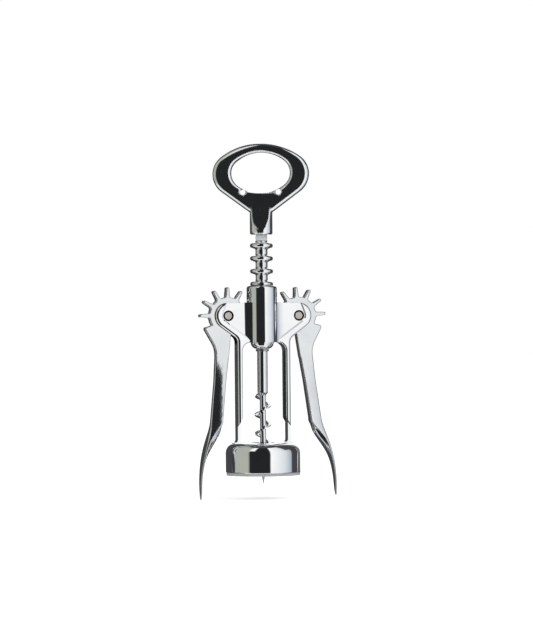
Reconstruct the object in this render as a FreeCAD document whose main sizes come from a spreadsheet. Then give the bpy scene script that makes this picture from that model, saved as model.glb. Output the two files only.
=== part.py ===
"""Wing corkscrew: a cast frame with a bell, two geared levers, a ring rack, a worm and an opener handle.

Units are millimetres and degrees.  Z runs up the axis of the worm, X runs across the two levers and
-Y is the front.  The origin is on the axis, in the plane inside the bell where a bottle's lip seats.
"""
import FreeCAD, Part
import os
import re
import Sketcher

DRIVING_DIMENSIONS = [
    # bell, the cup that sits over the bottle's mouth
    ("bell_radius", 20.0, "outside of the skirt"),
    ("bell_wall", 2.2, "thickness of the skirt"),
    ("bell_crown", 2.5, "thickness above the seat of the lip"),
    ("bell_skirt", 13.2, "depth of the skirt below the seat"),
    ("bell_shoulder", 5.4, "round between the skirt and the crown"),
    ("bell_inner_bevel", 2.2, "bevel between the seat and the inside of the skirt"),
    ("bell_foot_round", 0.5, "round on the lower edge of the skirt"),
    ("guide_radius", 6.2, "hole that the worm passes through"),
    # liner, the soft ring pressed into the bell
    ("liner_wall", 2.0, "thickness of the sleeve"),
    ("liner_flange", 1.5, "thickness of the flange under the skirt"),
    ("liner_step", 0.4, "how far the flange stands in from the skirt"),
    ("liner_headroom", 2.6, "space left above the sleeve"),
    ("liner_lead", 0.9, "lead-in bevel for the bottle"),
    # frame
    ("barrel_radius", 8.15, "outside of the barrel"),
    ("barrel_bore", 6.5, "bore that guides the rack"),
    ("barrel_below", 14.1, "from the pins down to the mouth of the barrel and the top of the window"),
    ("barrel_above", 15.9, "from the pins up to the upper mouth of the barrel"),
    ("barrel_edge", 1.5, "round on the upper rim"),
    ("barrel_blend", 7.0, "hollow round between the barrel and the ears"),
    ("pin_offset", 19.3, "from the axis to each pivot pin"),
    ("pin_height", 69.7, "from the seat to the pivot pins"),
    ("ear_radius", 7.0, "round end of the ears about the pin"),
    ("ear_slope", 36.0, "fall of the lower edge of the ears"),
    ("ear_elbow", 4.0, "round where the ears run into the legs"),
    ("frame_half_depth", 4.3, "from the middle plane to the rims of the ears and the faces of the legs"),
    ("frame_edge", 1.45, "round along the outer edges of ears and legs"),
    ("ear_recess", 0.6, "how deep the faces of the ears lie behind their rims"),
    ("ear_rim", 3.2, "width of the rims round the ears"),
    ("ear_rim_slope", 52.0, "slope of the rims towards the recess, from square"),
    ("ear_rim_lean", 20.0, "how far the rims lean towards the barrel above the pins"),
    ("window_edge", 0.85, "round along the edges of the window"),
    ("leg_outer", 14.5, "from the axis to the outside of a leg"),
    ("leg_inner", 11.8, "from the axis to the inside of a leg"),
    ("leg_web", 1.6, "web of the channel-shaped leg"),
    ("leg_flange", 1.5, "flanges of the channel-shaped leg"),
    ("channel_low", 11.2, "where the flanges run out above the bell"),
    ("channel_taper", 4.6, "length over which the flanges run out"),
    ("window_corner", 4.6, "corners of the window"),
    ("foot_half_depth", 2.9, "half width of the strip that stands on the bell"),
    ("foot_flare", 1.8, "flare where the strip meets the bell"),
    # pivot pins
    ("pin_radius", 2.25, "pivot pin"),
    ("pin_bevel", 0.6, "countersink round the end of the pin"),
    ("pin_crown", 0.4, "bevel on the end of the pin"),
    ("pin_clearance", 0.06, "running clearance between pin and lever"),
    # gearing
    ("rack_pitch", 6.8, "from one ring of the rack to the next"),
    ("gear_divisions", 12.0, "teeth that a whole gear would have"),
    ("gear_teeth", 7.0, "teeth on each lever"),
    ("gear_tip_radius", 15.2, "tips of the teeth"),
    ("gear_root_radius", 9.9, "roots of the teeth"),
    ("tooth_tip_width", 1.75, "width of a tooth at its round tip"),
    ("tooth_root_width", 2.6, "width of a tooth at its root"),
    ("gear_thickness", 4.2, "thickness of the geared head"),
    ("gear_edge", 0.35, "bevel along the edges of the geared head"),
    ("arm_edge", 0.45, "bevel along the edges of the arm"),
    ("side_clearance", 0.2, "between the head and each ear"),
    ("tip_clearance", 0.6, "between the tips and the cast slot"),
    # lever arm, measured from the pin with the first tooth level
    ("heel_out", 12.95, "corner behind the last tooth, across"),
    ("heel_drop", 6.4, "corner behind the last tooth, down"),
    ("heel_round", 1.3, "round of that corner"),
    ("heel_step", 1.75, "rise from that corner to the foot of the last tooth"),
    ("web_bulge", 1.65, "how far the web of the head stands inside the waist"),
    ("heel_slope", 59.0, "fall of the edge below the heel"),
    ("waist_round", 12.0, "hollow round above the waist"),
    ("tooth_root_round", 1.0, "hollow round at the foot of a tooth"),
    ("left_lever_open", 0.7, "how far the left lever hangs open"),
    ("right_lever_open", 4.1, "how far the right lever hangs open"),
    # rack
    ("rack_core", 3.25, "core between the rings"),
    ("rack_ring", 6.2, "outside of the rings"),
    ("ring_root", 3.3, "thickness of a ring at the core"),
    ("ring_rim", 2.6, "thickness of a ring at its round rim"),
    ("ring_foot", 0.8, "hollow round between a ring and the core"),
    ("ring_count", 7.0, "rings on the rack"),
    ("rack_sag", 0.25, "how far the rack hangs below the level tooth"),
    ("rack_clearance", 0.07, "running clearance on the spindle"),
    ("rack_collar", 2.25, "from the middle of the highest ring to the upper end"),
    ("rack_foot_length", 10.55, "from the middle of the lowest gap to the lower end"),
    ("rack_bevel", 0.5, "bevel round the upper end of the rack"),
    ("rack_foot_round", 3.4, "round of the bowl at the lower end"),
    ("end_play", 0.1, "axial clearance of the rack between its washers"),
    # washers
    ("bush_radius", 3.1, "upper thrust bush"),
    ("bush_height", 3.4, "upper thrust bush"),
    ("bush_bevel", 0.3, "broken edges of the bush"),
    ("washer_radius", 3.5, "lower thrust washer"),
    ("washer_height", 1.2, "lower thrust washer"),
    ("washer_bevel", 0.2, "broken edges of the washer"),
    # spindle and worm
    ("spindle_radius", 1.8, "spindle inside the rack"),
    ("spindle_bevel", 0.4, "bevel at the top of the spindle"),
    ("shank_radius", 2.82, "shank between the rack and the worm"),
    ("worm_high", 29.0, "where the shank ends"),
    ("shank_taper", 1.5, "length over which the shank narrows to the core of the worm"),
    ("thread_runout", 2.5, "length over which the thread rises out of the shank"),
    ("worm_core", 1.65, "core of the worm"),
    ("worm_radius", 4.4, "outside of the thread"),
    ("worm_pitch", 10.0, "one turn of the thread"),
    ("worm_phase", 60.0, "how far the worm stands turned, clockwise from above"),
    ("thread_root", 2.3, "thickness of the thread at the core"),
    ("thread_crest", 0.7, "thickness of the thread at its edge"),
    ("worm_tip", 19.0, "depth of the point below the seat"),
    ("worm_point", 13.0, "length over which the thread runs to a point"),
    ("core_point", 9.0, "length over which the core runs to a point"),
    ("worm_needle", 0.25, "radius of the very tip"),
    ("thread_foot", 0.7, "how deep the thread reaches into the core"),
    # handle
    ("neck_radius", 6.1, "neck of the handle"),
    ("neck_bevel", 0.7, "bevel under the neck"),
    ("socket_depth", 10.0, "how deep the spindle sits in the neck"),
    ("ring_height", 32.2, "from the foot of the neck to the middle of the ring"),
    ("ring_half_width", 25.8, "outside of the ring, across"),
    ("ring_half_height", 16.3, "outside of the ring, up"),
    ("ring_end_radius", 11.6, "round at either end of the ring"),
    ("ring_half_depth", 3.4, "half thickness of the ring"),
    ("ring_edge", 2.7, "round along the outer edges of the ring"),
    ("eye_lift", 0.5, "middle of the eye above the middle of the ring"),
    ("eye_half_width", 15.6, "eye of the ring, across"),
    ("eye_half_height", 10.75, "eye of the ring, up"),
    ("eye_end_radius", 8.2, "round at either end of the eye"),
    ("eye_edge", 2.1, "round along the edges of the eye"),
    ("lip_half_width", 7.5, "opener's lip, across"),
    ("lip_drop", 9.55, "corners of the opener's lip below the middle of the ring"),
    ("lip_hollow", 0.85, "how far the lip dips between its corners"),
    ("notch_offset", 9.5, "notches beside the opener's lip, across"),
    ("notch_drop", 9.6, "notches beside the opener's lip, below the middle of the ring"),
    ("notch_radius", 1.5, "notches beside the opener's lip"),
    ("flank_slope", 36.3, "rise of the straight flanks between neck and ring"),
    ("flare_height", 15.4, "where the flat faces start to swell into the neck"),
    ("flare_radius", 34.0, "swell of the flat faces"),
    ("neck_corner", 4.0, "hollow round between the flanks and the neck"),
    ("handle_turn", 22.0, "how far the handle stands turned, clockwise from above"),
]

# Stations of the lever's arm, from the waist to the finger tip: drop below the pin, inner edge and
# outer edge across, depth, width of the front face, how far the outer edge is crowned, how much thinner
# the section is at the outer edge on each face, and how far the faces are crowned.
ARM_STATIONS = [
    ("waist", (22.0, -0.75, 6.4, 4.2, 7.05, 0.05, 0.04, 0.02)),
    ("shank", (34.8, 0.55, 7.15, 4.9, 6.2, 0.2, 0.65, 0.2)),
    ("wrist", (55.0, 2.05, 8.8, 5.8, 6.2, 0.25, 1.1, 0.24)),
    ("twist", (60.0, 3.0, 9.6, 6.6, 4.7, 0.3, 0.9, 0.2)),
    ("palm", (66.4, 6.0, 11.35, 8.2, 1.9, 0.4, 0.3, 0.08)),
    ("pad", (73.0, 9.9, 12.95, 8.8, 1.1, 0.45, 0.15, 0.04)),
    ("blade", (81.0, 12.5, 14.2, 6.9, 0.8, 0.4, 0.1, 0.03)),
    ("nail", (88.0, 13.1, 14.55, 5.0, 0.75, 0.3, 0.08, 0.03)),
    ("finger", (94.0, 13.15, 14.35, 3.4, 0.7, 0.2, 0.05, 0.02)),
    ("finger_tip", (97.0, 13.4, 14.1, 1.6, 0.45, 0.1, 0.03, 0.015)),
]
STATION_FIELDS = ("drop", "inner", "outer", "depth", "face", "crown", "thin", "swell")
STRAIGHT_STATIONS = ("waist", "shank", "wrist")

doc = FreeCAD.newDocument("wing_corkscrew")
dims = doc.addObject("Spreadsheet::Sheet", "dims")
aliases = []


def set_dimension(alias, number, note):
    """Write one driving dimension into the next row of the sheet."""
    row = len(aliases) + 1
    dims.set(f"A{row}", alias)
    dims.set(f"B{row}", str(number))
    dims.set(f"C{row}", note)
    dims.setAlias(f"B{row}", alias)
    aliases.append(alias)


for alias, number, note in DRIVING_DIMENSIONS:
    set_dimension(alias, number, note)
for station, numbers in ARM_STATIONS:
    for field, number in zip(STATION_FIELDS, numbers):
        set_dimension(f"{station}_{field}", number, f"arm of the lever, {station}")
doc.recompute()
ALIAS_PATTERN = re.compile(r"\b(" + "|".join(sorted(aliases, key=len, reverse=True)) + r")\b")


def value(expression):
    """Number that an expression in the sheet's aliases gives."""
    result = dims.evalExpression(str(expression))
    return float(getattr(result, "Value", result))


def linked(expression):
    """The same expression, as an object outside the sheet has to write it."""
    return ALIAS_PATTERN.sub(r"dims.\1", str(expression))


def bind(thing, **properties):
    """Set properties of a feature and tie each of them to the sheet."""
    for name, expression in properties.items():
        setattr(thing, name, value(expression))
        thing.setExpression(name, linked(expression))


def new_body(label, rides_at=("0", "0", "0"), turn_axis=None, turn="0"):
    """A body whose place, and turn about an axis, are tied to the sheet."""
    body = doc.addObject("PartDesign::Body", label)
    body.Label = label
    for axis, expression in zip("xyz", rides_at):
        body.setExpression(f"Placement.Base.{axis}", linked(expression))
    if turn_axis:
        body.Placement.Rotation = FreeCAD.Rotation(FreeCAD.Vector(*turn_axis), value(turn))
        body.setExpression("Placement.Rotation.Angle", linked(turn))
    return body


def new_sketch(body, name, plane, lift="0"):
    """An empty sketch on one of the body's origin planes, lifted along the plane's normal."""
    sketch = body.newObject("Sketcher::SketchObject", name)
    support = [feature for feature in body.Origin.OriginFeatures if feature.Role == plane][0]
    sketch.AttachmentSupport = [(support, "")]
    sketch.MapMode = "FlatFace"
    sketch.setExpression("AttachmentOffset.Base.z", linked(lift))
    return sketch


def constrain(sketch, kind, places, expression):
    """Add a dimension to a sketch and tie it to the sheet."""
    index = sketch.addConstraint(Sketcher.Constraint(kind, *places, value(expression)))
    sketch.setExpression(f"Constraints[{index}]", linked(expression))


def add_circle(sketch, across, up, radius):
    """A circle with its centre and radius tied to the sheet."""
    centre = FreeCAD.Vector(value(across), value(up), 0)
    circle = sketch.addGeometry(Part.Circle(centre, FreeCAD.Vector(0, 0, 1), value(radius)))
    constrain(sketch, "DistanceX", (-1, 1, circle, 3), across)
    constrain(sketch, "DistanceY", (-1, 1, circle, 3), up)
    constrain(sketch, "Radius", (circle,), radius)


def arc_between(start, end, radius, turn):
    """The shorter arc from start to end; turn is 1 for counter-clockwise and -1 for clockwise."""
    chord = end - start
    across = FreeCAD.Vector(-chord.y, chord.x, 0).normalize()
    rise = max(radius ** 2 - (chord.Length / 2) ** 2, 0) ** 0.5
    centre = (start + end) * 0.5 + across * (rise * turn)
    middle = centre - across * (radius * turn)
    first, last = (start, end) if turn > 0 else (end, start)
    return Part.Arc(first, middle, last)


def add_outline(sketch, corners):
    """A closed outline.  A corner is (across, up), with (radius, turn) when an arc leaves it."""
    points = [FreeCAD.Vector(value(corner[0]), value(corner[1]), 0) for corner in corners]
    starts = []
    ends = []
    for index, corner in enumerate(corners):
        start = points[index]
        end = points[(index + 1) % len(points)]
        if len(corner) == 2:
            edge = sketch.addGeometry(Part.LineSegment(start, end))
            first, last = 1, 2
        else:
            radius, turn = corner[2:]
            edge = sketch.addGeometry(arc_between(start, end, value(radius), turn))
            first, last = (1, 2) if turn > 0 else (2, 1)
        starts.append((edge, first))
        ends.append((edge, last))
    for index, corner in enumerate(corners):
        following = starts[(index + 1) % len(corners)]
        sketch.addConstraint(Sketcher.Constraint("Coincident", *ends[index], *following))
    for start, corner in zip(starts, corners):
        constrain(sketch, "DistanceX", (-1, 1, *start), corner[0])
        constrain(sketch, "DistanceY", (-1, 1, *start), corner[1])
        if len(corner) > 2:
            constrain(sketch, "Radius", (start[0],), corner[2])


def mirrored(corners):
    """The half outline given, from the axis outwards and back, completed on the other side."""
    def negative(expression):
        return f"-({expression})"
    other = [(negative(corner[0]), corner[1]) for corner in reversed(corners)]
    inner = list(enumerate(corners))[:-1]
    arcs = {index: corner[2:] for index, corner in inner if len(corner) > 2}
    for index, arc in arcs.items():
        place = len(corners) - 2 - index
        other[place] = other[place] + arc
    return list(corners) + other


def add_pad(body, sketch, name, length, symmetric=False):
    """Material on one side of the sketch's plane, or on both."""
    pad = body.newObject("PartDesign::Pad", name)
    pad.Profile = sketch
    pad.SideType = "Symmetric" if symmetric else "One side"
    bind(pad, Length=length)
    return pad


def add_pocket(body, sketch, name, length, symmetric=True, reverse=False):
    """A cut that has to take material away."""
    before = body.Tip.Shape.Volume
    pocket = body.newObject("PartDesign::Pocket", name)
    pocket.Profile = sketch
    pocket.SideType = "Symmetric" if symmetric else "One side"
    pocket.Reversed = reverse
    bind(pocket, Length=length)
    doc.recompute()
    if pocket.Shape.Volume >= before:
        raise RuntimeError(f"{name} removes nothing")
    return pocket


def add_revolution(body, sketch, name):
    """A full turn about the upright axis of the sketch."""
    revolution = body.newObject("PartDesign::Revolution", name)
    revolution.Profile = sketch
    revolution.ReferenceAxis = (sketch, ["V_Axis"])
    revolution.Angle = 360
    return revolution


def add_loft(body, name, sections, ruled):
    """Material through the sections, with straight or with curved sides between them."""
    loft = body.newObject("PartDesign::AdditiveLoft", name)
    loft.Profile = sections[0]
    loft.Sections = sections[1:]
    loft.Ruled = ruled
    doc.recompute()
    return loft


def edges_where(shape, test):
    """Names of the edges that pass the test."""
    return [f"Edge{index + 1}" for index, edge in enumerate(shape.Edges) if test(edge)]


def dress(body, kind, name, size, test):
    """Round or bevel the edges of the body's latest shape that pass the test."""
    doc.recompute()
    base = body.Tip
    names = edges_where(base.Shape, test)
    if not names:
        raise RuntimeError(f"{name} finds no edges")
    feature = body.newObject(f"PartDesign::{kind}", name)
    feature.Base = (base, names)
    bind(feature, **{"Size" if kind == "Chamfer" else "Radius": size})
    doc.recompute()
    return feature


def near(first, second, tolerance=0.02):
    """Whether two lengths are the same within the modelling tolerance."""
    return abs(first - second) < tolerance


def runs_along(edge, across, up):
    """Whether an edge is a straight one parallel to Y at the given place."""
    box = edge.BoundBox
    spot = near(box.XMin, across) and near(box.XMax, across)
    return spot and near(box.ZMin, up) and near(box.ZMax, up) and box.YLength > 0.5


def circle_at(edge, radius, height):
    """Whether an edge is a level circle about Z of the given radius and height."""
    box = edge.BoundBox
    level = near(box.ZMin, height) and near(box.ZMax, height)
    return level and near(box.XMax, radius) and near(box.XMin, -radius)


# ---------------------------------------------------------------- frame with its bell
BARREL_LOW = "(pin_height - barrel_below)"
BARREL_HIGH = "(pin_height + barrel_above)"
EAR_TOP = "(pin_height + ear_radius)"
TANGENT_OUT = "(pin_offset + ear_radius * sin(ear_slope * 1deg))"
TANGENT_UP = "(pin_height - ear_radius * cos(ear_slope * 1deg))"
ELBOW_UP = f"({TANGENT_UP} - ({TANGENT_OUT} - leg_outer) * tan(ear_slope * 1deg))"
BELL_BORE = "(bell_radius - bell_wall)"
EAR_HALF_DEPTH = "(frame_half_depth - ear_recess)"
RECESS_RADIUS = "(ear_radius - ear_rim)"
RECESS_OUT = f"(pin_offset + {RECESS_RADIUS} * sin(ear_slope * 1deg))"
RECESS_UP = f"(pin_height - {RECESS_RADIUS} * cos(ear_slope * 1deg))"


def yoke_outline():
    """Ears and channel legs from the front, the right half from the window outwards."""
    return mirrored([
        ("leg_inner", BARREL_LOW),
        ("leg_inner", "channel_low + channel_taper"),
        ("leg_outer", "channel_low"),
        ("leg_outer", ELBOW_UP),
        (TANGENT_OUT, TANGENT_UP, "ear_radius", 1),
        ("pin_offset", EAR_TOP),
    ])


def recess_floor_up(across):
    """Height of the lower edge of the ears' recess at a distance from the axis."""
    return f"({RECESS_UP} - ({RECESS_OUT} - {across}) * tan(ear_slope * 1deg))"


def is_outer_rim(edge):
    """Edges of the two flat faces that follow the outside of ears and legs."""
    box = edge.BoundBox
    face = value("frame_half_depth")
    on_face = near(abs(box.YMin), face) and box.YLength < 0.01
    inside_window = box.XMax < value("leg_outer") - 0.01 and box.XMin > -value("leg_outer") + 0.01
    spans = box.XMax - box.XMin > value("leg_outer") and box.ZMin > value("pin_height")
    lower_end = box.ZMax < value("channel_low + channel_taper") + 0.01
    return on_face and not lower_end and (spans or not inside_window)


def is_window_rim(edge):
    """Edges of the two flat faces that follow the window."""
    box = edge.BoundBox
    on_face = near(abs(box.YMin), value("frame_half_depth")) and box.YLength < 0.01
    inside = max(abs(box.XMin), abs(box.XMax)) < value("leg_inner") + 0.01
    level = box.ZMin > value("channel_low + channel_taper") - 0.01 and box.ZMax < value(BARREL_LOW) + 0.01
    return on_face and inside and level


def make_frame():
    """One casting: barrel, ears, channel legs and bell, with the slots for the geared heads."""
    body = new_body("frame")
    yoke = new_sketch(body, "yoke_profile", "XZ_Plane")
    add_outline(yoke, yoke_outline())
    add_pad(body, yoke, "yoke", "2 * frame_half_depth", symmetric=True)
    dress(body, "Fillet", "window_corners", "window_corner", lambda edge: any(
        runs_along(edge, side * value("leg_inner"), value(BARREL_LOW)) for side in (1, -1)))
    dress(body, "Fillet", "ear_elbows", "ear_elbow", lambda edge: any(
        runs_along(edge, side * value("leg_outer"), value(ELBOW_UP)) for side in (1, -1)))
    dress(body, "Fillet", "yoke_rim", "frame_edge", is_outer_rim)
    dress(body, "Fillet", "window_rim", "window_edge", is_window_rim)

    lean = "(ear_rim_lean * 1deg)"
    for name, face, outwards in (("front", "frame_half_depth", False), ("back", "-frame_half_depth", True)):
        recess = new_sketch(body, f"{name}_recess_profile", "XZ_Plane", face)
        add_outline(recess, mirrored([
            ("barrel_bore", recess_floor_up("barrel_bore")),
            (RECESS_OUT, RECESS_UP, RECESS_RADIUS, 1),
            (f"pin_offset + {RECESS_RADIUS} * cos({lean})", f"pin_height + {RECESS_RADIUS} * sin({lean})"),
            (f"pin_offset + {RECESS_RADIUS} / cos({lean}) - 1.5 * ear_radius * tan({lean})",
             "pin_height + 1.5 * ear_radius"),
        ]))
        pocket = add_pocket(body, recess, f"{name}_recess", "ear_recess", symmetric=False, reverse=outwards)
        bind(pocket, TaperAngle="-ear_rim_slope")

    channel = new_sketch(body, "channel_profile", "XZ_Plane")
    add_outline(channel, mirrored([
        ("leg_outer - leg_web", "0.9 * channel_low"),
        ("leg_outer - leg_web", f"{BARREL_LOW} - window_corner"),
    ]))
    add_pocket(body, channel, "leg_channels", "2 * (frame_half_depth - leg_flange)")

    strip = new_sketch(body, "foot_profile", "XZ_Plane")
    for side, turn in (("", -1), ("-", 1)):
        add_outline(strip, [
            (f"{side}(leg_outer - leg_web)", "channel_low + channel_taper"),
            (f"{side}(leg_outer - leg_web)", "bell_crown + foot_flare", "foot_flare", turn),
            (f"{side}(leg_outer - leg_web - foot_flare)", "bell_crown"),
            (f"{side}(leg_outer - leg_web - foot_flare)", "bell_crown * 0.4"),
            (f"{side}(leg_outer + foot_flare)", "bell_crown * 0.4"),
            (f"{side}(leg_outer + foot_flare)", "bell_crown", "foot_flare", turn),
            (f"{side}leg_outer", "bell_crown + foot_flare"),
            (f"{side}leg_outer", "channel_low + channel_taper"),
        ])
    add_pad(body, strip, "feet", "2 * foot_half_depth", symmetric=True)

    round_wall = new_sketch(body, "barrel_profile", "XY_Plane", BARREL_LOW)
    add_circle(round_wall, "0", "0", "barrel_radius")
    add_pad(body, round_wall, "barrel", "barrel_above + barrel_below")
    blend_out = f"sqrt((barrel_radius + barrel_blend)^2 - ({EAR_HALF_DEPTH} + barrel_blend)^2)"
    share = "barrel_radius / (barrel_radius + barrel_blend)"
    touch_out = f"({blend_out} * {share})"
    touch_deep = f"(({EAR_HALF_DEPTH} + barrel_blend) * {share})"
    blend = new_sketch(body, "blend_profile", "XY_Plane", BARREL_LOW)
    add_outline(blend, mirrored([
        (touch_out, f"-{touch_deep}", "barrel_blend", -1),
        (blend_out, f"-{EAR_HALF_DEPTH}"),
        (blend_out, EAR_HALF_DEPTH, "barrel_blend", -1),
        (touch_out, touch_deep),
    ]))
    add_pad(body, blend, "barrel_blends", "ear_radius + barrel_below")
    dress(body, "Fillet", "barrel_rim", "barrel_edge", lambda edge: circle_at(
        edge, value("barrel_radius"), value(BARREL_HIGH)))

    cup = new_sketch(body, "bell_profile", "XZ_Plane")
    add_outline(cup, [
        ("guide_radius", "0"),
        (f"{BELL_BORE} - bell_inner_bevel", "0"),
        (BELL_BORE, "-bell_inner_bevel"),
        (BELL_BORE, "-bell_skirt"),
        ("bell_radius", "-bell_skirt"),
        ("bell_radius", "bell_crown - bell_shoulder", "bell_shoulder", 1),
        ("bell_radius - bell_shoulder", "bell_crown"),
        ("guide_radius", "bell_crown"),
    ])
    add_revolution(body, cup, "bell")
    dress(body, "Fillet", "bell_lower_edge", "bell_foot_round", lambda edge: circle_at(
        edge, value("bell_radius"), value("-bell_skirt")))

    bore = new_sketch(body, "bore_profile", "XY_Plane", BARREL_HIGH)
    add_circle(bore, "0", "0", "barrel_bore")
    add_pocket(body, bore, "barrel_bore_cut", "2 * (barrel_above + barrel_below)")
    slots = new_sketch(body, "slot_profile", "XZ_Plane")
    holes = new_sketch(body, "pin_hole_profile", "XZ_Plane")
    for side in ("", "-"):
        add_circle(slots, f"{side}pin_offset", "pin_height", "gear_tip_radius + tip_clearance")
        add_circle(holes, f"{side}pin_offset", "pin_height", "pin_radius")
    add_pocket(body, holes, "pin_holes", "3 * frame_half_depth")
    dress(body, "Chamfer", "pin_countersinks", "pin_bevel", is_pin_mouth)
    add_pocket(body, slots, "gear_slots", "gear_thickness + 2 * side_clearance")
    return body


def is_pin_mouth(edge):
    """Round edges of the pin holes in the outer faces of the ears."""
    box = edge.BoundBox
    face = value(EAR_HALF_DEPTH)
    flat = box.YLength < 0.01 and near(abs(box.YMin), face)
    size = near(box.XLength, value("2 * pin_radius")) and near(box.ZLength, value("2 * pin_radius"))
    return flat and size


def make_liner():
    """Ring pressed into the bell; its flange covers the lower edge of the skirt."""
    body = new_body("bell_liner")
    ring = new_sketch(body, "liner_profile", "XZ_Plane")
    sleeve = f"({BELL_BORE} - liner_wall)"
    add_outline(ring, [
        (f"{sleeve} + liner_lead", "-bell_skirt - liner_flange"),
        ("bell_radius - liner_step", "-bell_skirt - liner_flange"),
        ("bell_radius - liner_step", "-bell_skirt"),
        (BELL_BORE, "-bell_skirt"),
        (BELL_BORE, "-liner_headroom"),
        (sleeve, "-liner_headroom"),
        (sleeve, "-bell_skirt - liner_flange + liner_lead"),
    ])
    add_revolution(body, ring, "liner")
    return body


def make_pin(label, side):
    """Rivet that a lever turns on, flush with the ears."""
    body = new_body(label, (f"{side}pin_offset", "0", "pin_height"))
    section = new_sketch(body, "pin_profile", "XZ_Plane")
    add_circle(section, "0", "0", "pin_radius")
    add_pad(body, section, "pin", f"2 * {EAR_HALF_DEPTH}", symmetric=True)
    dress(body, "Chamfer", "pin_ends", "pin_crown", lambda edge: edge.BoundBox.YLength < 0.01)
    return body


# ---------------------------------------------------------------- levers
POLAR_BACKWARDS = {"": True, "-": False}
TOOTH_BASE = "(gear_root_radius - tooth_root_round)"
TOOTH_SHOULDER = "(gear_tip_radius - tooth_tip_width / 2)"
WAIST_UP = "(-heel_drop - (heel_out - waist_outer) * tan(heel_slope * 1deg))"


def sided(corners, side):
    """The corners of a right-hand outline, or their mirror image for the left hand."""
    if not side:
        return corners
    points = [(f"-({corner[0]})", corner[1]) for corner in corners]
    arcs = [(corner[2], -corner[3]) if len(corner) > 2 else () for corner in corners]
    return [point + arc for point, arc in zip(points, arcs)]


def head_outline():
    """Web of the geared head below the teeth: inner edge, waist, outer edge and heel."""
    return [
        ("waist_inner - web_bulge", "-1.2 * web_bulge"),
        ("waist_inner + waist_crown", "-waist_drop"),
        ("waist_outer - waist_crown", "-waist_drop"),
        ("waist_outer", WAIST_UP),
        ("heel_out", "-heel_drop"),
        ("gear_root_radius - 0.73 * tooth_root_width", "-heel_drop + heel_step"),
    ]


def tooth_outline():
    """The level tooth that points at the rack, with a round tip."""
    half_tip = "tooth_tip_width / 2"
    return [
        (f"-{TOOTH_BASE}", "tooth_root_width / 2"),
        (f"-{TOOTH_SHOULDER}", half_tip, half_tip, 1),
        ("-gear_tip_radius", "0", half_tip, 1),
        (f"-{TOOTH_SHOULDER}", f"-{half_tip}"),
        (f"-{TOOTH_BASE}", "-tooth_root_width / 2"),
    ]


def crowned(chord, rise):
    """Radius of an arc over a chord with the rise given."""
    return f"(({chord}^2 / 4 + {rise}^2) / (2 * {rise}))"


def section_outline(station):
    """Level section of the arm: four crowned sides with bevels between, thinner at the outer edge."""
    field = {name: f"{station}_{name}" for name in STATION_FIELDS}
    outer = f"({field['outer']} - {field['crown']})"
    inner = f"({outer} - {field['face']})"
    half = f"({field['depth']} / 2)"
    thin_half = f"({half} - {field['thin']})"
    edge = f"(arm_edge * {field['face']} / ({field['face']} + 3.3 * arm_edge))"
    face_chord = f"sqrt(({field['face']} - 2 * {edge})^2 + {field['thin']}^2)"
    face_radius = crowned(face_chord, field["swell"])
    outer_radius = crowned(f"(2 * ({thin_half} - {edge}))", field["crown"])
    inner_radius = crowned(f"({field['depth']} - 2 * {edge})", f"({inner} - {field['inner']})")
    return [
        (outer, f"-({thin_half} - {edge})", outer_radius, 1),
        (outer, f"{thin_half} - {edge}"),
        (f"{outer} - {edge}", thin_half, face_radius, 1),
        (f"{inner} + {edge}", half),
        (inner, f"{half} - {edge}", inner_radius, 1),
        (inner, f"-({half} - {edge})"),
        (f"{inner} + {edge}", f"-{half}", face_radius, 1),
        (f"{outer} - {edge}", f"-{thin_half}"),
    ]


def is_tooth_root(edge):
    """Straight edges where the flanks of the teeth leave the hub of the head."""
    box = edge.BoundBox
    if box.YLength < 1 or box.XLength > 0.01 or box.ZLength > 0.01:
        return False
    if box.ZMin < -0.6 * value("tooth_root_width"):
        return False
    return abs((box.XMin ** 2 + box.ZMin ** 2) ** 0.5 - value("gear_root_radius")) < 0.05


def is_head_rim(edge):
    """Edges of the two flat faces of the geared head, above the waist."""
    box = edge.BoundBox
    on_face = near(abs(box.YMin), value("gear_thickness / 2")) and box.YLength < 0.01
    return on_face and box.ZMin > value("-waist_drop") + 0.01


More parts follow.
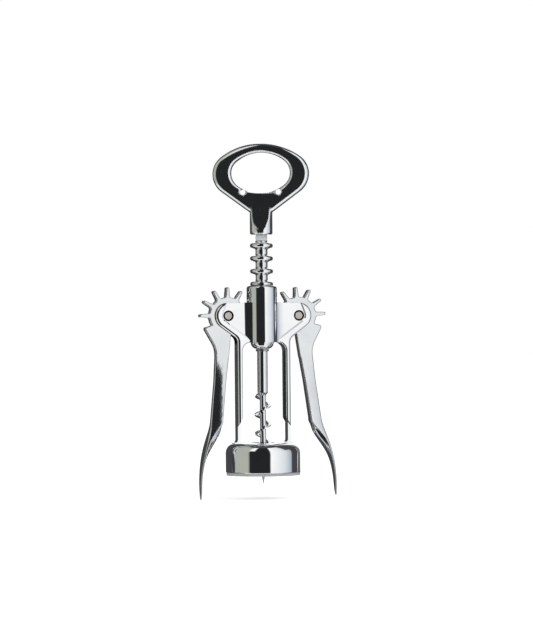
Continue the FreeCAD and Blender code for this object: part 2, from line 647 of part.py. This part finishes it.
def make_lever(label, side, opening):
    """Geared head and arm in one casting; the finger end turns edge on."""
    mirror = -1 if side else 1
    body = new_body(label, (f"{side}pin_offset", "0", "pin_height"), (0, -mirror, 0), opening)
    disc = new_sketch(body, "hub_profile", "XZ_Plane")
    add_circle(disc, "0", "0", "gear_root_radius")
    add_pad(body, disc, "hub", "gear_thickness", symmetric=True)
    web = new_sketch(body, "web_profile", "XZ_Plane")
    add_outline(web, sided(head_outline(), side))
    add_pad(body, web, "web", "gear_thickness", symmetric=True)
    dress(body, "Fillet", "heel_corner", "heel_round", lambda edge: runs_along(
        edge, mirror * value("heel_out"), value("-heel_drop")))
    dress(body, "Fillet", "waist_hollow", "waist_round", lambda edge: runs_along(
        edge, mirror * value("waist_outer"), value(WAIST_UP)))

    tooth = new_sketch(body, "tooth_profile", "XZ_Plane")
    add_outline(tooth, sided(tooth_outline(), side))
    finger = add_pad(body, tooth, "tooth", "gear_thickness", symmetric=True)
    doc.recompute()
    teeth = body.newObject("PartDesign::PolarPattern", "teeth")
    teeth.Originals = [finger]
    teeth.Axis = (tooth, ["N_Axis"])
    teeth.Reversed = bool(POLAR_BACKWARDS[side])
    teeth.setExpression("Occurrences", linked("gear_teeth"))
    teeth.setExpression("Angle", linked("(gear_teeth - 1) * 360 / gear_divisions"))
    body.Tip = teeth
    dress(body, "Fillet", "tooth_roots", "tooth_root_round", is_tooth_root)
    dress(body, "Chamfer", "head_rim", "gear_edge", is_head_rim)

    sections = {}
    for station, numbers in ARM_STATIONS:
        sections[station] = new_sketch(body, f"{station}_section", "XY_Plane", f"-{station}_drop")
        add_outline(sections[station], sided(section_outline(station), side))
    add_loft(body, "arm", [sections[station] for station in STRAIGHT_STATIONS], ruled=True)
    bent = [sections[station] for station, numbers in ARM_STATIONS if station not in STRAIGHT_STATIONS[:-1]]
    add_loft(body, "finger_end", bent, ruled=False)
    bore = new_sketch(body, "bore_profile", "XZ_Plane")
    add_circle(bore, "0", "0", "pin_radius + pin_clearance")
    add_pocket(body, bore, "pin_bore", "2 * gear_thickness")
    return body


# ---------------------------------------------------------------- rack, washers and worm
RACK_BORE = "(spindle_radius + rack_clearance)"
RING_HALF_ROOT = "(ring_root / 2)"
RING_HALF_RIM = "(ring_rim / 2)"
LOWEST_GAP = "(pin_height - rack_sag - rack_pitch)"
RACK_LOW = f"({LOWEST_GAP} - rack_foot_length)"
RACK_HIGH = f"({LOWEST_GAP} + (ring_count - 0.5) * rack_pitch + rack_collar)"
SHANK_HIGH = f"({RACK_LOW} - end_play - washer_height)"
NECK_LOW = f"({RACK_HIGH} + end_play + bush_height)"


def ring_corners(number):
    """Outline of one ring of the rack, counted from the lowest."""
    middle = f"({LOWEST_GAP} + ({number} + 0.5) * rack_pitch)"
    shoulder = f"rack_ring - {RING_HALF_RIM}"
    return [
        ("rack_core", f"{middle} - {RING_HALF_ROOT} - ring_foot", "ring_foot", -1),
        ("rack_core + ring_foot", f"{middle} - {RING_HALF_ROOT}"),
        (shoulder, f"{middle} - {RING_HALF_RIM}", RING_HALF_RIM, 1),
        (shoulder, f"{middle} + {RING_HALF_RIM}"),
        ("rack_core + ring_foot", f"{middle} + {RING_HALF_ROOT}", "ring_foot", -1),
        ("rack_core", f"{middle} + {RING_HALF_ROOT} + ring_foot"),
    ]


def make_rack():
    """Sleeve with round rings that the levers' teeth drive up and down."""
    body = new_body("rack_sleeve")
    foot_top = f"({LOWEST_GAP} - (rack_pitch - ring_rim) / 2)"
    corners = [
        (RACK_BORE, RACK_LOW),
        ("rack_ring - rack_foot_round", RACK_LOW, "rack_foot_round", 1),
        ("rack_ring", f"{RACK_LOW} + rack_foot_round"),
        ("rack_ring", f"{foot_top} - {RING_HALF_RIM}", RING_HALF_RIM, 1),
        (f"rack_ring - {RING_HALF_RIM}", foot_top),
        ("rack_core", f"{foot_top} + {RING_HALF_ROOT} - {RING_HALF_RIM}"),
    ]
    for number in range(int(value("ring_count"))):
        corners += ring_corners(number)
    corners += [
        ("rack_core", f"{RACK_HIGH} - rack_bevel"),
        ("rack_core - rack_bevel", RACK_HIGH),
        (RACK_BORE, RACK_HIGH),
    ]
    profile = new_sketch(body, "rack_profile", "XZ_Plane")
    add_outline(profile, corners)
    add_revolution(body, profile, "rack")
    return body


def make_washer(label, low, high, radius, bevel):
    """Plain washer on the spindle with both outer edges broken."""
    body = new_body(label)
    profile = new_sketch(body, "washer_profile", "XZ_Plane")
    add_outline(profile, [
        (RACK_BORE, low),
        (f"{radius} - {bevel}", low),
        (radius, f"{low} + {bevel}"),
        (radius, f"{high} - {bevel}"),
        (f"{radius} - {bevel}", high),
        (RACK_BORE, high),
    ])
    add_revolution(body, profile, "washer")
    return body


def make_worm():
    """Spindle, shank and helical worm in one piece of steel."""
    body = new_body("worm", ("0", "0", "0"), (0, 0, -1), "worm_phase")
    profile = new_sketch(body, "core_profile", "XZ_Plane")
    add_outline(profile, [
        ("0", "-worm_tip"),
        ("worm_needle", "-worm_tip"),
        ("worm_core", "-worm_tip + core_point"),
        ("worm_core", "worm_high - shank_taper"),
        ("shank_radius", "worm_high"),
        ("shank_radius", SHANK_HIGH),
        ("spindle_radius", SHANK_HIGH),
        ("spindle_radius", f"{NECK_LOW} + socket_depth - spindle_bevel"),
        ("spindle_radius - spindle_bevel", f"{NECK_LOW} + socket_depth"),
        ("0", f"{NECK_LOW} + socket_depth"),
    ])
    add_revolution(body, profile, "core")
    doc.recompute()
    blade = new_sketch(body, "thread_profile", "XZ_Plane")
    add_outline(blade, [
        ("thread_foot", "-worm_tip - thread_root / 2"),
        ("worm_radius", "-worm_tip - thread_crest / 2"),
        ("worm_radius", "-worm_tip + thread_crest / 2"),
        ("thread_foot", "-worm_tip + thread_root / 2"),
    ])
    thread = body.newObject("PartDesign::AdditiveHelix", "thread")
    thread.Profile = blade
    thread.ReferenceAxis = (blade, ["V_Axis"])
    thread.Mode = "pitch-turns-angle"
    bind(thread, Pitch="worm_pitch", Turns="(worm_high + worm_tip) / worm_pitch")
    doc.recompute()
    waste = new_sketch(body, "point_profile", "XZ_Plane")
    add_outline(waste, [
        ("worm_needle", "-worm_tip"),
        ("thread_foot", "-worm_tip + core_point * 0.27"),
        ("worm_radius", "-worm_tip + worm_point"),
        ("worm_radius", "worm_high - thread_runout"),
        ("shank_radius", "worm_high"),
        ("2 * worm_radius", "worm_high"),
        ("2 * worm_radius", "-1.2 * worm_tip"),
        ("worm_needle", "-1.2 * worm_tip"),
    ])
    groove = body.newObject("PartDesign::Groove", "point")
    groove.Profile = waste
    groove.ReferenceAxis = (waste, ["V_Axis"])
    groove.Angle = 360
    doc.recompute()
    return body


# ---------------------------------------------------------------- handle
def oval_corners(half_width, half_height, end_radius, middle):
    """Upper right quarter of a four-centre oval, from the end arc to the crown arc."""
    drop = f"({half_height} - {end_radius})"
    reach = f"({half_width} - {end_radius})"
    crown = f"(({reach}^2 + {half_height}^2 - {end_radius}^2) / (2 * {drop}))"
    share = f"({end_radius} / ({crown} - {end_radius}))"
    across = f"({reach} * (1 + {share}))"
    rise = f"(({crown} - {half_height}) * {share})"
    return crown, across, rise


def make_handle():
    """Neck and oval ring, with the lip of the crown-cap opener at the foot of the eye."""
    body = new_body("handle", ("0", "0", NECK_LOW), (0, 0, -1), "handle_turn")
    crown, across, rise = oval_corners(
        "ring_half_width", "ring_half_height", "ring_end_radius", "ring_height")
    flank_out = "(ring_half_width - ring_end_radius * (1 - sin(flank_slope * 1deg)))"
    flank_up = "(ring_height - ring_end_radius * cos(flank_slope * 1deg))"
    plate = new_sketch(body, "plate_profile", "XZ_Plane")
    inside = "(neck_radius * 0.8)"
    corner_up = f"({flank_up} - ({flank_out} - {inside}) * tan(flank_slope * 1deg))"
    reach = "(neck_corner * tan(45deg - flank_slope * 0.5deg))"
    add_outline(plate, mirrored([
        (inside, f"{corner_up} - {reach}", "neck_corner", -1),
        (f"{inside} + {reach} * cos(flank_slope * 1deg)", f"{corner_up} + {reach} * sin(flank_slope * 1deg)"),
        (flank_out, flank_up, "ring_end_radius", 1),
        (across, f"ring_height + {rise}", crown, 1),
    ]))
    add_pad(body, plate, "plate", "2 * ring_half_depth", symmetric=True)
    dress(body, "Fillet", "ring_rim", "ring_edge", lambda edge: (
        edge.BoundBox.YLength < 0.01 and edge.BoundBox.ZMax > value(flank_up) - 0.5))

    crown, across, rise = oval_corners(
        "eye_half_width", "eye_half_height", "eye_end_radius", "ring_height + eye_lift")
    middle = "(ring_height + eye_lift)"
    eye = new_sketch(body, "eye_profile", "XZ_Plane")
    add_outline(eye, mirrored([
        (across, f"{middle} - {rise}", "eye_end_radius", 1),
        (across, f"{middle} + {rise}", crown, 1),
    ])[:-1] + [(f"-{across}", f"{middle} - {rise}", crown, 1)])
    add_pocket(body, eye, "eye", "3 * ring_half_depth")
    dress(body, "Fillet", "eye_rim", "eye_edge", lambda edge: (
        edge.BoundBox.YLength < 0.01 and near(abs(edge.BoundBox.YMin), value("ring_half_depth"))
        and edge.BoundBox.XMax < value("eye_half_width") + 0.1
        and edge.BoundBox.XMin > -value("eye_half_width") - 0.1
        and edge.BoundBox.ZMin > value(middle) - value("eye_half_height") - 0.1
        and edge.BoundBox.ZMax < value(middle) + value("eye_half_height") + 0.1))
    lip = new_sketch(body, "lip_profile", "XZ_Plane")
    lip_up = "(ring_height - lip_drop)"
    lip_radius = crowned("(2 * lip_half_width)", "lip_hollow")
    add_outline(lip, [
        ("-lip_half_width", f"{lip_up} * 0.78"),
        ("lip_half_width", f"{lip_up} * 0.78"),
        ("lip_half_width", lip_up, lip_radius, -1),
        ("-lip_half_width", lip_up),
    ])
    add_pad(body, lip, "lip", "2 * ring_half_depth", symmetric=True)
    doc.recompute()
    notches = new_sketch(body, "notch_profile", "XZ_Plane")
    for side in ("", "-"):
        add_circle(notches, f"{side}notch_offset", "ring_height - notch_drop", "notch_radius")
    add_pocket(body, notches, "notches", "3 * ring_half_depth")

    neck = new_sketch(body, "neck_profile", "XZ_Plane")
    add_outline(neck, [
        ("0", "0"),
        ("neck_radius - neck_bevel", "0"),
        ("neck_radius", "neck_bevel"),
        ("neck_radius", "flare_height * 0.98"),
        ("0", "flare_height * 0.98"),
    ])
    add_revolution(body, neck, "neck")
    doc.recompute()
    flare_drop = "(flare_height * 1.07)"
    flare_out = f"(ring_half_depth + flare_radius - sqrt(flare_radius^2 - {flare_drop}^2))"
    flare = new_sketch(body, "flare_profile", "YZ_Plane")
    for side, turn in (("", 1), ("-", -1)):
        add_outline(flare, [
            (f"{side}ring_half_depth", "flare_height", "flare_radius", turn),
            (f"{side}{flare_out}", f"flare_height - {flare_drop}"),
            (f"{side}({flare_out} + neck_radius)", f"flare_height - {flare_drop}"),
            (f"{side}({flare_out} + neck_radius)", "flare_height"),
        ])
    add_pocket(body, flare, "neck_flats", "4 * neck_radius")
    socket = new_sketch(body, "socket_profile", "XY_Plane")
    add_circle(socket, "0", "0", "spindle_radius")
    add_pocket(body, socket, "spindle_socket", "socket_depth", symmetric=False, reverse=True)
    return body


bodies = [
    make_frame(),
    make_liner(),
    make_pin("pivot_pin_left", "-"),
    make_pin("pivot_pin_right", ""),
    make_lever("lever_left", "-", "left_lever_open"),
    make_lever("lever_right", "", "right_lever_open"),
    make_rack(),
    make_washer("upper_bush", f"({RACK_HIGH} + end_play)", NECK_LOW, "bush_radius", "bush_bevel"),
    make_washer("lower_washer", SHANK_HIGH, f"({SHANK_HIGH} + washer_height)", "washer_radius", "washer_bevel"),
    make_worm(),
    make_handle(),
]
doc.recompute()

faults = [thing.Name for thing in doc.Objects if {"Invalid", "Error"} & set(thing.State)]
faults += [body.Label for body in bodies if body.Shape.isNull() or not body.Shape.isValid()]
if faults:
    raise RuntimeError("not built: " + ", ".join(faults))
os.makedirs("parts", exist_ok=True)
for body in bodies:
    body.Shape.exportStep(f"parts/{body.Label}.step")
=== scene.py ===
"""Looks of the wing corkscrew: plated metal, pale plastics, a plain studio and the camera."""
import math

import bpy
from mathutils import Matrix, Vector


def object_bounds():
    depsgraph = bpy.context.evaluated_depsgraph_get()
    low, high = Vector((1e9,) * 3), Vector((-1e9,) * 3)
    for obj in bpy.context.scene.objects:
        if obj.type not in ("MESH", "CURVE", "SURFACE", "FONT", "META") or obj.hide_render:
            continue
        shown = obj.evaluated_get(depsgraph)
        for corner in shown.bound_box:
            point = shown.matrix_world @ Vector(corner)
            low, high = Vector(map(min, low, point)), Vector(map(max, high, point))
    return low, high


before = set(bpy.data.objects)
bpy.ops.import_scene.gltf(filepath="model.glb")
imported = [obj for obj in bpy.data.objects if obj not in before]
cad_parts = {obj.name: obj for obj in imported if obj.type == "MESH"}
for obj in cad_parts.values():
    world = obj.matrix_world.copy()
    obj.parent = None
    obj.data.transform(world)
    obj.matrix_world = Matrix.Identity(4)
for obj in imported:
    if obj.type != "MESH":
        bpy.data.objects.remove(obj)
cad_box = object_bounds()
scene = bpy.context.scene

# Where the photograph was taken from, and its frame. Lengths are in metres unless the name says more.
CAMERA_AZIMUTH = math.radians(-15)
CAMERA_DISTANCE = 1.5
CAMERA_ROLL = math.radians(-0.5)
SENSOR_HEIGHT_MM = 36.0
EYE_HEIGHT = 0.0565
FRAME_WIDE = 533
FRAME_HIGH = 640
MM_PER_PIXEL = 0.53
# The column of the object's axis, and the row of height 0, where the bottle's mouth seats.
AXIS_PIXEL = 262.3
SEAT_PIXEL = 447.2

# The rivets' axis, from the middle and above the seat.
PIN_OUT = 0.0193
PIN_HEIGHT = 0.0697

TOWARDS_CAMERA = Vector((math.sin(CAMERA_AZIMUTH), -math.cos(CAMERA_AZIMUTH), 0))
CAMERA_RIGHT = Vector((math.cos(CAMERA_AZIMUTH), math.sin(CAMERA_AZIMUTH), 0))
UP = Vector((0, 0, 1))


# ---------------------------------------------------------------- nodes
def add_node(tree, kind, **inputs):
    """A node with some of its inputs set; spaces in their names are written as underscores."""
    node = tree.nodes.new(kind)
    for name, value in inputs.items():
        node.inputs[name.replace("_", " ")].default_value = value
    return node


def noise(tree, scale, detail):
    """Noise in the object's own space."""
    place = tree.nodes.new("ShaderNodeTexCoord")
    texture = add_node(tree, "ShaderNodeTexNoise", Scale=scale, Detail=detail)
    tree.links.new(place.outputs["Object"], texture.inputs["Vector"])
    return texture.outputs["Fac"]


def ramp(tree, factor, stops):
    """A colour ramp over the factor, from (position, colour) stops."""
    node = tree.nodes.new("ShaderNodeValToRGB")
    elements = node.color_ramp.elements
    # Each new stop starts in the middle and is moved to its place below.
    while len(elements) < len(stops):
        elements.new(0.5)
    for element, (position, colour) in zip(elements, stops):
        element.position = position
        element.color = (*colour, 1)
    tree.links.new(factor, node.inputs["Fac"])
    return node.outputs["Color"]


def smooth_step(tree, factor, start, end):
    """Zero before the start, one after the end and a smooth rise between; the end may be the lower."""
    node = add_node(tree, "ShaderNodeMapRange", From_Min=start, From_Max=end)
    node.interpolation_type = "SMOOTHSTEP"
    tree.links.new(factor, node.inputs["Value"])
    return node.outputs["Result"]


def arithmetic(tree, operation, first, second):
    """One mathematical operation on two factors."""
    node = tree.nodes.new("ShaderNodeMath")
    node.operation = operation
    tree.links.new(first, node.inputs[0])
    tree.links.new(second, node.inputs[1])
    return node.outputs["Value"]


def vector_node(tree, operation, vector, fixed=None):
    """One operation on a linked vector, with a fixed second one where the operation takes two."""
    node = tree.nodes.new("ShaderNodeVectorMath")
    node.operation = operation
    tree.links.new(vector, node.inputs[0])
    if fixed is not None:
        node.inputs[1].default_value = fixed
    return node


def mix(tree, factor, first, second):
    """The first colour where the factor is 0 and the second, linked or plain, where it is 1."""
    node = tree.nodes.new("ShaderNodeMix")
    node.data_type = "RGBA"
    tree.links.new(factor, node.inputs["Factor"])
    tree.links.new(first, node.inputs["A"])
    if isinstance(second, tuple):
        node.inputs["B"].default_value = (*second, 1)
    else:
        tree.links.new(second, node.inputs["B"])
    return node.outputs["Result"]


def bump(tree, height, distance):
    """A bump node over a height; the distance is what the height's whole range stands for."""
    node = add_node(tree, "ShaderNodeBump", Distance=distance, Strength=1.0)
    tree.links.new(height, node.inputs["Height"])
    return node


# ---------------------------------------------------------------- materials
def new_material(name):
    """A node material with its shader ready."""
    material = bpy.data.materials.new(name)
    material.use_nodes = True
    return material, material.node_tree, material.node_tree.nodes["Principled BSDF"]


def metal(name, surface, worn_edge=0.0):
    """Plated or bare metal: cast ripple, patches of tint, uneven polish, and edges polished round."""
    colour, tint, roughness, ripple_scale, ripple = surface
    material, tree, shader = new_material(name)
    shader.inputs["Metallic"].default_value = 1.0
    patches = noise(tree, scale=90, detail=3)
    tree.links.new(ramp(tree, patches, [(0.35, colour), (0.7, tint)]), shader.inputs["Base Color"])
    polish = add_node(tree, "ShaderNodeMapRange", To_Min=roughness[0], To_Max=roughness[1])
    tree.links.new(noise(tree, scale=240, detail=4), polish.inputs["Value"])
    tree.links.new(polish.outputs["Result"], shader.inputs["Roughness"])
    waves = bump(tree, noise(tree, scale=ripple_scale, detail=2), ripple)
    if worn_edge:
        softened = add_node(tree, "ShaderNodeBevel", Radius=worn_edge)
        softened.samples = 8
        tree.links.new(softened.outputs["Normal"], waves.inputs["Normal"])
    tree.links.new(waves.outputs["Normal"], shader.inputs["Normal"])
    return material


def plastic(name, colour, tint, roughness, grain):
    """Moulded plastic with a fine grain."""
    material, tree, shader = new_material(name)
    patches = noise(tree, scale=160, detail=3)
    tree.links.new(ramp(tree, patches, [(0.3, colour), (0.75, tint)]), shader.inputs["Base Color"])
    shader.inputs["Roughness"].default_value = roughness
    speckle = bump(tree, noise(tree, scale=2600, detail=2), grain)
    tree.links.new(speckle.outputs["Normal"], shader.inputs["Normal"])
    return material


def paint_shade_round_pins(material, unshaded, shaded):
    """Painted shade: near-black over the base colour, from one distance from the nearer rivet's axis
    to another.
    """
    tree = material.node_tree
    place = tree.nodes.new("ShaderNodeTexCoord").outputs["Object"]
    mirrored = vector_node(tree, "ABSOLUTE", place).outputs["Vector"]
    flattened = vector_node(tree, "MULTIPLY", mirrored, (1, 0, 1)).outputs["Vector"]
    distance = vector_node(tree, "DISTANCE", flattened, (PIN_OUT, 0, PIN_HEIGHT)).outputs["Value"]
    base = tree.nodes["Principled BSDF"].inputs["Base Color"]
    metal_colour = base.links[0].from_socket
    tree.links.new(mix(tree, smooth_step(tree, distance, unshaded, shaded), metal_colour, PAINTED_SHADE), base)


# Colour, tint of its patches, lowest and highest roughness, scale and height of the ripple.
CASTING = ((0.93, 0.94, 0.95), (0.88, 0.89, 0.91), (0.02, 0.05), 55, 0.00006)
LEVER = ((0.80, 0.82, 0.83), (0.73, 0.75, 0.76), (0.1, 0.17), 320, 0.00008)
STEEL = ((0.9, 0.91, 0.92), (0.84, 0.85, 0.87), (0.03, 0.09), 120, 0.00006)
RIVET = ((0.86, 0.79, 0.73), (0.6, 0.53, 0.48), (0.28, 0.42), 900, 0.00004)
WASHER = ((0.5, 0.5, 0.5), (0.42, 0.42, 0.42), (0.25, 0.4), 600, 0.00003)
# The near-black of the painted shade round the rivets.
PAINTED_SHADE = (0.03, 0.03, 0.03)

chrome_cast = metal("chrome_cast", CASTING)
chrome_handle = metal("chrome_handle", CASTING, worn_edge=0.0016)
chrome_lever = metal("chrome_lever", LEVER, worn_edge=0.0009)
chrome_steel = metal("chrome_steel", STEEL)
pin_steel = metal("pin_steel", RIVET)
washer_steel = metal("washer_steel", WASHER)
bush_plastic = plastic("bush_plastic", (0.66, 0.68, 0.69), (0.58, 0.6, 0.61), 0.45, 0.00002)
liner_plastic = plastic("liner_plastic", (0.42, 0.43, 0.44), (0.34, 0.35, 0.36), 0.5, 0.00003)

# Painted shade: near-black in the countersinks, between the rivets' worn heads and the ears' faces.
paint_shade_round_pins(chrome_cast, unshaded=0.0029, shaded=0.0028)
paint_shade_round_pins(pin_steel, unshaded=0.0021, shaded=0.0022)

FINISHES = {
    "frame": chrome_cast,
    "handle": chrome_handle,
    "lever_left": chrome_lever,
    "lever_right": chrome_lever,
    "rack_sleeve": chrome_steel,
    "worm": chrome_steel,
    "pivot_pin_left": pin_steel,
    "pivot_pin_right": pin_steel,
    "lower_washer": washer_steel,
    "upper_bush": bush_plastic,
    "bell_liner": liner_plastic,
}
for node_name, finish in FINISHES.items():
    for material_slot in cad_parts[node_name].material_slots:
        material_slot.material = finish

# ---------------------------------------------------------------- floor
FLOOR_GAP = 0.0002
FLOOR_REACH = 6.0
FLOOR_GLOW = 0.5
PAPER_WHITE = (1, 1, 1, 1)

floor_height = cad_box[0][2] - FLOOR_GAP
corners = [(-1, -1), (1, -1), (1, 1), (-1, 1)]
corner_points = [(FLOOR_REACH * x, FLOOR_REACH * y, floor_height) for x, y in corners]
floor_mesh = bpy.data.meshes.new("floor")
floor_mesh.from_pydata(corner_points, [], [(0, 1, 2, 3)])
floor = bpy.data.objects.new("floor", floor_mesh)
scene.collection.objects.link(floor)
floor.visible_glossy = False
floor_material, floor_tree, floor_shader = new_material("floor_paper")
floor_shader.inputs["Base Color"].default_value = (0.82, 0.82, 0.82, 1)
floor_shader.inputs["Roughness"].default_value = 0.9
floor_shader.inputs["Specular IOR Level"].default_value = 0.0
floor_shader.inputs["Emission Color"].default_value = PAPER_WHITE
# The paper glows for the camera alone, so that it looks white and still shows the object's shadow.
floor_rays = floor_tree.nodes.new("ShaderNodeLightPath")
floor_glow = add_node(floor_tree, "ShaderNodeMapRange", To_Max=FLOOR_GLOW)
floor_tree.links.new(floor_rays.outputs["Is Camera Ray"], floor_glow.inputs["Value"])
floor_tree.links.new(floor_glow.outputs["Result"], floor_shader.inputs["Emission Strength"])
floor_mesh.materials.append(floor_material)

# ---------------------------------------------------------------- studio
BLACK = (0.018, 0.019, 0.02)
DARK = (0.06, 0.06, 0.065)
BEIGE = (0.44, 0.455, 0.40)
CREAM = (0.8, 0.81, 0.78)
SILVER = (0.91, 0.92, 0.93)
PALE_BLUE = (0.75, 0.78, 0.82)
STEEL_BLUE = (0.53, 0.58, 0.66)
SLATE = (0.42, 0.45, 0.52)
WHITE = (1.03, 1.03, 1.03)

# The screens that the metal reflects, at three heights. Each stop is (angle, colour), with an even
# change to the next; the angle is in degrees from the camera's direction, rising to the right.
BACK_LEFT = [(-180, WHITE), (-173, WHITE), (-168, DARK), (-112, DARK)]
FRONT = [(20, BLACK), (24, WHITE)]
BACK_RIGHT = [(148, DARK), (156, WHITE), (180, WHITE)]
SCREENS = {
    "low": (
        [(-106, CREAM), (-48, CREAM), (-41, BLACK)],
        [(70, PALE_BLUE), (95, SLATE), (99, DARK)],
    ),
    "middle": (
        [(-106, BEIGE), (-48, BEIGE), (-41, BLACK)],
        [(45, SILVER), (70, PALE_BLUE), (85, STEEL_BLUE), (95, SLATE), (99, DARK)],
    ),
    "high": (
        [(-106, BEIGE), (-50, BEIGE), (-42, WHITE), (-30, WHITE), (-24, BLACK)],
        [(70, PALE_BLUE), (82, DARK)],
    ),
}

# Where one part of the room gives way to another, as (start, end), in sines of the elevation.
LOW_SCREENS = (-0.3, -0.36)
HIGH_SCREENS = (0.42, 0.56)
OVERHEAD = (0.82, 0.9)
CEILING = (0.9, 0.93)
BELOW_EYE = (-0.1, -0.16)
GROUND = (-0.8, -0.86)
# The same by how far a direction points towards the camera: below zero is beyond the object.
BEYOND = (-0.05, -0.2)

# The world as it lights the object, apart from what is reflected.
PLAIN_GREY = (0.9, 0.9, 0.9, 1)
PLAIN_STRENGTH = 0.75

world = bpy.data.worlds.new("studio")
world.use_nodes = True
scene.world = world
sky = world.node_tree
sky.nodes.clear()


def component(direction, axis):
    """Component of a direction along a fixed axis."""
    return vector_node(sky, "DOT_PRODUCT", direction, axis).outputs["Value"]


def screen_ring(around, left, right):
    """One ring of screens, from what stands to the left and to the right of its front."""
    stops = BACK_LEFT + left + FRONT + right + BACK_RIGHT
    return ramp(sky, around, [((angle + 180) / 360, colour) for angle, colour in stops])


def for_rays(kind, otherwise, seen):
    """What one kind of ray sees of the world, and what the others see."""
    rays = sky.nodes.new("ShaderNodeLightPath")
    node = sky.nodes.new("ShaderNodeMixShader")
    sky.links.new(rays.outputs[kind], node.inputs["Fac"])
    sky.links.new(otherwise, node.inputs[1])
    sky.links.new(seen, node.inputs[2])
    return node.outputs["Shader"]


direction = sky.nodes.new("ShaderNodeTexCoord").outputs["Generated"]
towards = component(direction, TOWARDS_CAMERA)
bearing = arithmetic(sky, "ARCTAN2", component(direction, CAMERA_RIGHT), towards)
turn = add_node(sky, "ShaderNodeMapRange", From_Min=-math.pi, From_Max=math.pi)
sky.links.new(bearing, turn.inputs["Value"])
level = component(direction, UP)
rings = {name: screen_ring(turn.outputs["Result"], *sides) for name, sides in SCREENS.items()}
walls = mix(sky, smooth_step(sky, level, *LOW_SCREENS), rings["middle"], rings["low"])
walls = mix(sky, smooth_step(sky, level, *HIGH_SCREENS), walls, rings["high"])
# Beyond the object the room is dark overhead and below the eye, and its ceiling is dark all round.
overhead = smooth_step(sky, level, *OVERHEAD)
below_eye = smooth_step(sky, level, *BELOW_EYE)
beyond = smooth_step(sky, towards, *BEYOND)
gaps = arithmetic(sky, "MULTIPLY", beyond, arithmetic(sky, "ADD", overhead, below_eye))
gaps = arithmetic(sky, "MAXIMUM", gaps, smooth_step(sky, level, *CEILING))
room = mix(sky, gaps, walls, DARK)
room = mix(sky, smooth_step(sky, level, *GROUND), room, WHITE)

plain = add_node(sky, "ShaderNodeBackground", Color=PLAIN_GREY, Strength=PLAIN_STRENGTH)
studio = add_node(sky, "ShaderNodeBackground", Strength=1.0)
sky.links.new(room, studio.inputs["Color"])
paper = add_node(sky, "ShaderNodeBackground", Color=PAPER_WHITE, Strength=1.0)
surface = for_rays("Is Glossy Ray", plain.outputs["Background"], studio.outputs["Background"])
surface = for_rays("Is Camera Ray", surface, paper.outputs["Background"])
output = sky.nodes.new("ShaderNodeOutputWorld")
sky.links.new(surface, output.inputs["Surface"])

# ---------------------------------------------------------------- lights
# Each light is (name, how far towards the camera, to its right and up, watts).
LIGHTS = [
    ("key", 0.5, 0.6, 0.9, 6),
    ("fill", 0.8, -0.7, 0.5, 3),
]
LIGHT_SIZE = 0.8
LIT_POINT = Vector((0, 0, 0.06))

for light_name, near, right, high, watts in LIGHTS:
    light_data = bpy.data.lights.new(light_name, "AREA")
    light_data.shape = "SQUARE"
    light_data.size = LIGHT_SIZE
    light_data.energy = watts
    light = bpy.data.objects.new(light_name, light_data)
    light.location = TOWARDS_CAMERA * near + CAMERA_RIGHT * right + UP * high
    light.rotation_euler = (LIT_POINT - light.location).to_track_quat("-Z", "Y").to_euler()
    light.visible_glossy = False
    scene.collection.objects.link(light)

# ---------------------------------------------------------------- camera
camera_data = bpy.data.cameras.new("camera")
camera = bpy.data.objects.new("camera", camera_data)
scene.collection.objects.link(camera)
scene.camera = camera
camera.location = TOWARDS_CAMERA * CAMERA_DISTANCE + UP * EYE_HEIGHT
camera.rotation_euler = (-TOWARDS_CAMERA).to_track_quat("-Z", "Y").to_euler()
camera.rotation_euler.rotate_axis("Z", CAMERA_ROLL)
camera_data.sensor_fit = "VERTICAL"
camera_data.sensor_height = SENSOR_HEIGHT_MM
frame_height = FRAME_HIGH * MM_PER_PIXEL / 1000
camera_data.lens = SENSOR_HEIGHT_MM * CAMERA_DISTANCE / frame_height
eye_pixel = SEAT_PIXEL - EYE_HEIGHT * 1000 / MM_PER_PIXEL
camera_data.shift_x = (FRAME_WIDE / 2 - AXIS_PIXEL) / FRAME_HIGH
camera_data.shift_y = (eye_pixel - FRAME_HIGH / 2) / FRAME_HIGH

scene.view_settings.view_transform = "Standard"
